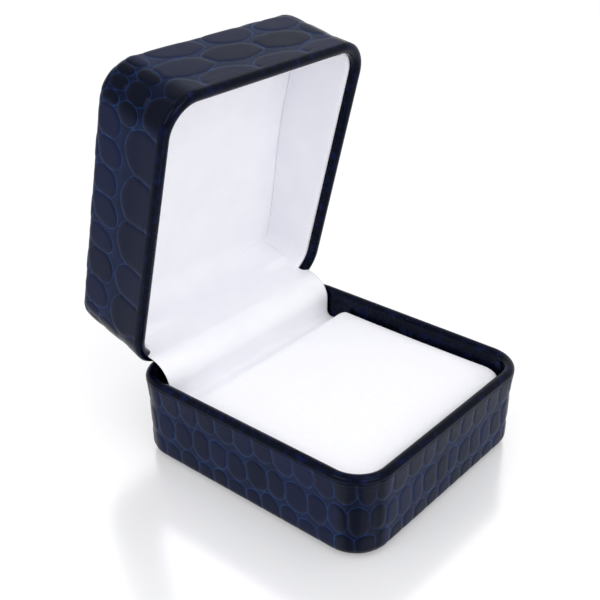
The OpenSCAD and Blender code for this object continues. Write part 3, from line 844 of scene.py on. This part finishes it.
def makeStrip():
    l, across = liningShape, liningShape["across"]
    line = stripLine()
    spine = np.array([middle for middle, _, _, _ in line])
    ahead = np.gradient(spine, axis=0)
    ahead /= np.linalg.norm(ahead, axis=1)[:, None]
    inward = np.stack([-ahead[:, 1], ahead[:, 0]], 1)
    strip, order = makeGrid("satinLining", across, len(line) - 1)
    points = np.zeros((len(order), 3))
    # the satin over the ceiling stands up from its seams like a shallow pillow, which fades at both coves
    rows = np.arange(len(line))
    ceilingEnd = len(line) - stripRows["frontCove"] - stripRows["front"] - 2
    ceilingStart = ceilingEnd - stripRows["ceiling"]
    pillowed = smoothStep(ceilingStart - 12, ceilingStart + 2, rows)
    pillowed = pillowed * (1 - smoothStep(ceilingEnd - 14, ceilingEnd, rows))
    for row, (middle, seam, half, share) in enumerate(line):
        for column in range(across + 1):
            # the columns crowd towards the edges
            even = 2 * column / across - 1
            t = math.sin(math.pi / 2 * even) * 0.35 + even * 0.65
            drawn = smoothStep(0.4, 0.97, abs(t))
            y, z = np.array(middle) * (1 - drawn) + np.array(seam) * drawn
            inFrom = half * (1 - abs(t))
            sink = l["crown"] * share * (1 - smoothStep(0, l["crownWide"], inFrom))
            sink -= l["pillow"] * smoothStep(0, l["pillowWide"], inFrom) * pillowed[row]
            points[order[row * (across + 1) + column]] = (half * t, y - inward[row][0] * sink,
                                                          z - inward[row][1] * sink)
    writePoints(strip, points)
    length = float(np.linalg.norm(np.diff(spine, axis=0), axis=1).sum())
    return strip, length


strip, stripLength = makeStrip()
print("lining strip laid out", len(strip.data.vertices))


def softenStrip(piece):
    # long soft folds: along the roll over the hinge, and broad slack over the ceiling
    points = readPoints(piece)
    for i, (x, y, z) in enumerate(points):
        broad = noise.noise(Vector((x / 26, y / 19, z / 19)))
        roll = math.exp(-((y - 33) / 6) ** 2 - ((z - 27) / 4) ** 2)
        fold = noise.noise(Vector((x / 40 + 5, y / 3.2, z / 3.2))) * roll
        fade = min(1, max(0, (liningShape["half"] - abs(x)) / 6))
        points[i][1] -= 0.3 * broad * fade
        points[i][2] += 0.25 * broad * fade + 0.6 * fold * min(1, fade + 0.4)
    writePoints(piece, points)


softenStrip(strip)
pointOut(strip)
# the shown side is the one that looks into the lid
ceilingFace = min(strip.data.polygons, key=lambda face: (face.center / mm - Vector((0, 55, 60))).length)
if ceilingFace.normal.y > 0:
    turnOver(strip)
thicken(strip, liningShape["thick"])
pickOnly(strip)
bpy.ops.object.shade_smooth()
putOn(strip, satin)
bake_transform(strip)
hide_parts("hinge_flap", "lid_lining")
print("strip length", round(stripLength, 1))


# side panels, which round in by turn degrees at both ends and reach under the ceiling's satin
cheekShape = {"thick": 0.12, "lip": 0.86, "turn": 78, "under": 1.0, "slack": 0.12, "steps": 60,
              "turnSteps": 8, "levels": 18, "boardOut": 0.35, "boardThick": 0.5, "smoothDeg": 50}


def panelPlan(outset):
    # the panel's line along the inside of the lid's wall, as places and outward directions
    l, c = liningShape, cheekShape
    radius = l["corner"] + outset
    shares = [k / c["turnSteps"] for k in range(c["turnSteps"] + 1)]
    turns = [(l["frontY"], math.radians(-c["turn"] * (1 - share))) for share in shares]
    turns += [(l["frontY"] + (l["backY"] - l["frontY"]) * k / c["steps"], 0) for k in range(1, c["steps"])]
    turns += [(l["backY"], math.radians(c["turn"] * share)) for share in shares]
    return [(l["cornerX"] + radius * math.cos(a), y + radius * math.sin(a), math.cos(a), math.sin(a))
            for y, a in turns]


def layPanel(name, side, outset, thick, lips):
    # lips are the rows at the panel's foot, each a distance outward and up
    l, c = liningShape, cheekShape
    plan, levels = panelPlan(outset), c["levels"]
    panel, order = makeGrid(name, len(plan) - 1, levels + len(lips))
    points = np.zeros((len(order), 3))
    foot = l["foot"] - 0.1
    for level in range(levels + len(lips) + 1):
        for k, (x, y, outX, outY) in enumerate(plan):
            share = max(0, level - len(lips)) / levels
            out, up = lips[level] if level < len(lips) else (0, 0.15)
            z = foot + up + (ceilingAt(y) + c["under"] - foot - up) * share
            slack = c["slack"] * abs(noise.noise(Vector((y / 17, z / 11, side * 3))))
            slack *= min(1, share * 5) * (outX > 0.99)
            points[order[level * len(plan) + k]] = (side * (x + outX * out - slack), y + outY * out, z)
    writePoints(panel, points)
    pointOut(panel)
    middleFace = panel.data.polygons[len(panel.data.polygons) // 2 + len(plan) // 2]
    if middleFace.normal.x * side > 0:
        turnOver(panel)
    thicken(panel, thick)
    panel.data.transform(swingOpen)
    pickOnly(panel)
    bpy.ops.object.shade_smooth_by_angle(angle=math.radians(c["smoothDeg"]))
    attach(panel, "lid")
    length = sum(math.dist(a[:2], b[:2]) for a, b in zip(plan, plan[1:]))
    return panel, length


def makeCheek(side, word):
    # a board with satin drawn over it and turned over its foot
    l, c = liningShape, cheekShape
    cheek, length = layPanel(word + "CheekSatin", side, 0, c["thick"], ((c["lip"], 0), (0.12, 0)))
    putOn(cheek, satin)
    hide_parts(word + "_cheek_satin")
    board, _ = layPanel(word + "CheekBoard", side, c["boardOut"], c["boardThick"], ())
    putOn(board, stock["greyBoard"])
    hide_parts(word + "_cheek_card")


makeCheek(-1, "left")
makeCheek(1, "right")
print("cheeks made")


# pad: flocked cover over foam, soft at its edges

padShape = {"half": 31.4, "front": -33.8, "back": 20.4, "low": 15.25, "top": 19.2, "frontCorner": 6.4,
            "backCorner": 1.6, "edge": 1.3, "slack": 0.1, "voxel": 0.9, "held": 0.6, "cap": 0.35,
            "topCap": 0.25, "pressure": 4, "frames": 20}


def inflate(pad):
    # light pressure swells the cover, held at its underside; no point may move far
    p = padShape
    still = readPoints(pad)
    cloth = pad.modifiers.new("Cloth", "CLOTH")
    cloth.settings.use_pressure = True
    cloth.settings.uniform_pressure_force = p["pressure"]
    cloth.settings.effector_weights.gravity = 0
    cloth.settings.quality = 4
    group = pad.vertex_groups.new(name="under")
    group.add([int(i) for i in np.nonzero(still[:, 2] < p["low"] + p["held"])[0]], 1.0, "ADD")
    cloth.settings.vertex_group_mass = "under"
    for number in range(1, p["frames"] + 1):
        bpy.context.scene.frame_set(number)
    applyModifier(pad, cloth)
    bpy.context.scene.frame_set(1)
    moved = readPoints(pad) - still
    length = np.linalg.norm(moved, axis=1)[:, None]
    moved *= np.minimum(1, p["cap"] / np.maximum(length, 1e-9))
    done = still + moved
    done[:, 2] = np.minimum(done[:, 2], p["top"] + p["topCap"])
    writePoints(pad, done)


def makePad():
    p = padShape
    pickNothing()
    bpy.ops.mesh.primitive_cube_add(size=1, location=(0, (p["front"] + p["back"]) / 2 * mm,
                                                      (p["low"] + p["top"]) / 2 * mm))
    pad = bpy.context.object
    pad.name = "padCover"
    pad.scale = (2 * (p["half"] - p["slack"]) * mm, (p["back"] - p["front"] - 2 * p["slack"]) * mm,
                 (p["top"] - p["low"] - p["slack"]) * mm)
    settle(pad)
    selectWhere(pad, "edges", lambda a, b: (np.abs(a[2] - b[2]) > 1) & (a[1] < 0))
    bpy.ops.mesh.bevel(offset=p["frontCorner"] * mm, segments=10)
    selectWhere(pad, "edges", lambda a, b: (np.abs(a[2] - b[2]) > 1) & (a[1] > 0))
    bpy.ops.mesh.bevel(offset=p["backCorner"] * mm, segments=5)
    selectWhere(pad, "polygons", lambda middle, normal: normal[2] > 0.9)
    bpy.ops.mesh.region_to_loop()
    bpy.ops.mesh.bevel(offset=p["edge"] * mm, segments=5)
    leaveEdit()
    even = pad.modifiers.new("remesh", "REMESH")
    even.mode = "VOXEL"
    even.voxel_size = p["voxel"] * mm
    applyModifier(pad, even)
    inflate(pad)
    finer = pad.modifiers.new("smooth", "SUBSURF")
    finer.levels = finer.render_levels = 1
    applyModifier(pad, finer)
    pickOnly(pad)
    bpy.ops.object.shade_smooth()
    putOn(pad, flock)
    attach(pad, "pad")
    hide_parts("pad_cover", "pad_foam")
    return pad


padCover = makePad()
print("pad made", len(padCover.data.vertices))


# floor, light and camera

floorLook = {"size": 6, "drop": 0.02, "colour": "#f4f4f6", "gloss": 0.4, "roughness": 0.2, "lift": 0.25}
pickNothing()
bpy.ops.mesh.primitive_plane_add(size=floorLook["size"], location=(0, 0, -floorLook["drop"] * mm))
floor = bpy.context.object
floor.name = "floor"
settle(floor)
# glossy white acrylic sheet; what the camera sees of it is lifted to white, past the soft shade
floorMaterial, floorTree, _ = newMaterial("whiteAcrylicSheet", {})
floorTree.nodes.clear()
rays = addNode(floorTree, "LightPath")
matt = addNode(floorTree, "BsdfDiffuse", values={"Color": floorLook["colour"]})
shine = addNode(floorTree, "BsdfAnisotropic",
                values={"Color": floorLook["colour"], "Roughness": floorLook["roughness"]})
both = addNode(floorTree, "MixShader", values={0: floorLook["gloss"]},
               links={1: matt.outputs[0], 2: shine.outputs[0]})
lifted = addNode(floorTree, "Math", {"operation": "MULTIPLY"}, {1: floorLook["lift"]},
                 {0: rays.outputs["Is Camera Ray"]})
glow = addNode(floorTree, "Emission", links={"Strength": lifted.outputs[0]})
lit = addNode(floorTree, "AddShader", links={0: both.outputs[0], 1: glow.outputs[0]})
addNode(floorTree, "OutputMaterial", links={"Surface": lit.outputs[0]})
putOn(floor, floorMaterial)

# a white room that the camera sees as pure white, and that lights the box a little less than that
studioLook = {"light": 0.8, "seen": 1}
world = bpy.data.worlds.new("studio")
bpy.context.scene.world = world
world.use_nodes = True
backdrop = world.node_tree.nodes["Background"]
backdrop.inputs["Color"].default_value = (1, 1, 1, 1)
studio = addNode(world.node_tree, "LightPath")
seen = addNode(world.node_tree, "MapRange", links={"Value": studio.outputs["Is Camera Ray"]},
               values={"To Min": studioLook["light"], "To Max": studioLook["seen"]})
world.node_tree.links.new(seen.outputs[0], backdrop.inputs["Strength"])

# soft panels: places and aims in mm
lampPlan = {"leftPanel": {"at": (-420, 60, 380), "aim": (0, 0, 40), "size": 300, "watts": 0.6},
            "frontPanel": {"at": (-140, -460, 330), "aim": (0, 30, 50), "size": 360, "watts": 0.78},
            "topPanel": {"at": (60, -160, 520), "aim": (0, 0, 20), "size": 260, "watts": 0.28}}
for lampName, plan in lampPlan.items():
    data = bpy.data.lights.new(lampName, "AREA")
    data.shape = "SQUARE"
    data.size = plan["size"] * mm
    data.energy = plan["watts"]
    lamp = bpy.data.objects.new(lampName, data)
    bpy.context.scene.collection.objects.link(lamp)
    lamp.location = Vector(plan["at"]) * mm
    lamp.rotation_euler = (Vector(plan["at"]) - Vector(plan["aim"])).to_track_quat("Z", "Y").to_euler()

cameraPlan = {"at": (-175.8, -138.05, 162.1), "turn": -49.85, "tip": -28.27, "roll": -0.2, "lens": 61.83}
cameraData = bpy.data.cameras.new("camera")
cameraData.lens = cameraPlan["lens"]
cameraData.sensor_width = 36
cameraData.clip_start, cameraData.clip_end = 0.01, 20
camera = bpy.data.objects.new("camera", cameraData)
bpy.context.scene.collection.objects.link(camera)
camera.location = Vector(cameraPlan["at"]) * mm
turned = [Matrix.Rotation(math.radians(a), 3, axis) for a, axis in
          ((cameraPlan["turn"], "Z"), (90 + cameraPlan["tip"], "X"), (cameraPlan["roll"], "Z"))]
camera.rotation_euler = (turned[0] @ turned[1] @ turned[2]).to_euler()
bpy.context.scene.camera = camera
bpy.context.scene.view_settings.view_transform = "Standard"
print("floor, light and camera placed")
